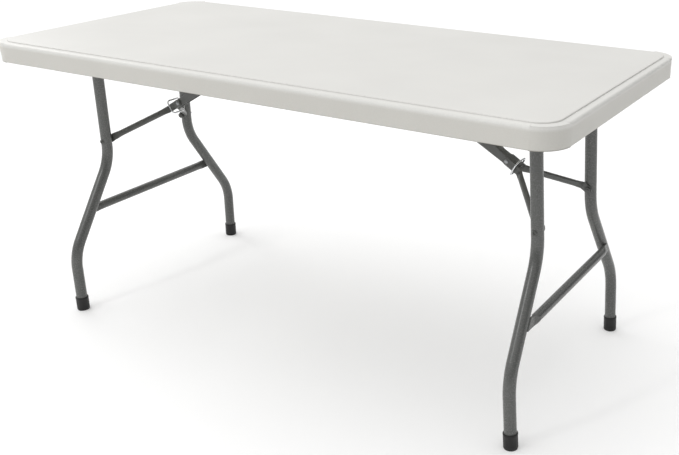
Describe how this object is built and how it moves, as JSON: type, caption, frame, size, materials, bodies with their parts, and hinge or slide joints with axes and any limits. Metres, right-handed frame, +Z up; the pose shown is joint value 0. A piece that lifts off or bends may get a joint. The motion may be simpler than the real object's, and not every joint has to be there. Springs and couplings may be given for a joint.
{
  "type": "folding table",
  "caption": "Rectangular blow-moulded table top on folding bent-tube leg frames, each held open by a Y-shaped brace with a lock ring.",
  "frame": {"origin": "on the floor, under the centre of the top, with the legs open", "axes": "+X along the length, +Y towards the rear long side, +Z up"},
  "size_m": [1.524, 0.7, 0.74],
  "materials": {
    "moulded_top": "fine pebble, moulded",
    "painted_tube": "satin powder coat",
    "painted_brace": "satin powder coat",
    "painted_sheet": "satin powder coat",
    "cap_plastic": "moulded, satin",
    "plated_fastener": "zinc plated",
    "plated_wire": "bright zinc plated"
  },
  "bodies": {
    "top": {"tabletop": "moulded_top", "side_rail_front": "painted_sheet", "side_rail_rear": "painted_sheet", "rail_screws": "plated_fastener", "brace_bracket_right": "painted_sheet", "bracket_screws_right": "plated_fastener", "brace_pivot_pin_right": "plated_fastener", "brace_bracket_left": "painted_sheet", "bracket_screws_left": "plated_fastener", "brace_pivot_pin_left": "plated_fastener"},
    "leg_frame_right": {"hinge_tube_right": "painted_tube", "hinge_spigots_right": "plated_fastener", "leg_front_right": "painted_tube", "leg_rear_right": "painted_tube", "lower_crossbar_right": "painted_tube", "foot_cap_front_right": "cap_plastic", "foot_cap_rear_right": "cap_plastic", "brace_bolts_right": "plated_fastener"},
    "channel_right": {"brace_channel_right": "painted_brace", "elbow_rivet_right": "plated_fastener"},
    "struts_right": {"brace_strut_front_right": "painted_brace", "brace_strut_rear_right": "painted_brace", "brace_nuts_right": "plated_fastener"},
    "ring_right": {"lock_ring_right": "plated_wire"},
    "leg_frame_left": {"hinge_tube_left": "painted_tube", "hinge_spigots_left": "plated_fastener", "leg_front_left": "painted_tube", "leg_rear_left": "painted_tube", "lower_crossbar_left": "painted_tube", "foot_cap_front_left": "cap_plastic", "foot_cap_rear_left": "cap_plastic", "brace_bolts_left": "plated_fastener"},
    "channel_left": {"brace_channel_left": "painted_brace", "elbow_rivet_left": "plated_fastener"},
    "struts_left": {"brace_strut_front_left": "painted_brace", "brace_strut_rear_left": "painted_brace", "brace_nuts_left": "plated_fastener"},
    "ring_left": {"lock_ring_left": "plated_wire"}
  },
  "joints": [
    {"name": "leg_fold_right", "type": "hinge", "parent": "top", "child": "leg_frame_right", "pos_m": [0.626, 0, 0.702], "axis": [0, 1, 0], "range_deg": [0, 92.6]},
    {"name": "channel_fold_right", "type": "hinge", "parent": "top", "child": "channel_right", "pos_m": [0.213, 0, 0.697], "axis": [0, 1, 0], "range_deg": [-27.78, 0]},
    {"name": "struts_fold_right", "type": "hinge", "parent": "channel_right", "child": "struts_right", "pos_m": [0.497, 0, 0.537], "axis": [0, 1, 0], "range_deg": [0, 180.14]},
    {"name": "ring_lift_right", "type": "slide", "parent": "channel_right", "child": "ring_right", "axis": [-0.8805, 0, 0.474], "range_m": [0, 0.13012]},
    {"name": "leg_fold_left", "type": "hinge", "parent": "top", "child": "leg_frame_left", "pos_m": [-0.626, 0, 0.702], "axis": [0, -1, 0], "range_deg": [0, 89]},
    {"name": "channel_fold_left", "type": "hinge", "parent": "top", "child": "channel_left", "pos_m": [-0.213, 0, 0.697], "axis": [0, -1, 0], "range_deg": [-30.48, 0]},
    {"name": "struts_fold_left", "type": "hinge", "parent": "channel_left", "child": "struts_left", "pos_m": [-0.497, 0, 0.537], "axis": [0, -1, 0], "range_deg": [0, 172.12]},
    {"name": "ring_lift_left", "type": "slide", "parent": "channel_left", "child": "ring_left", "axis": [0.8805, 0, 0.474], "range_m": [0, 0.13012]}
  ],
  "couplings": [
    {"joint": "channel_fold_right", "follows": "leg_fold_right", "ratio": -0.29951},
    {"joint": "struts_fold_right", "follows": "leg_fold_right", "ratio": 1.9448},
    {"joint": "ring_lift_right", "follows": "leg_fold_right", "m_per_rad": 0.080452},
    {"joint": "channel_fold_left", "follows": "leg_fold_left", "ratio": -0.3419},
    {"joint": "struts_fold_left", "follows": "leg_fold_left", "ratio": 1.9333},
    {"joint": "ring_lift_left", "follows": "leg_fold_left", "m_per_rad": 0.083706}
  ]
}
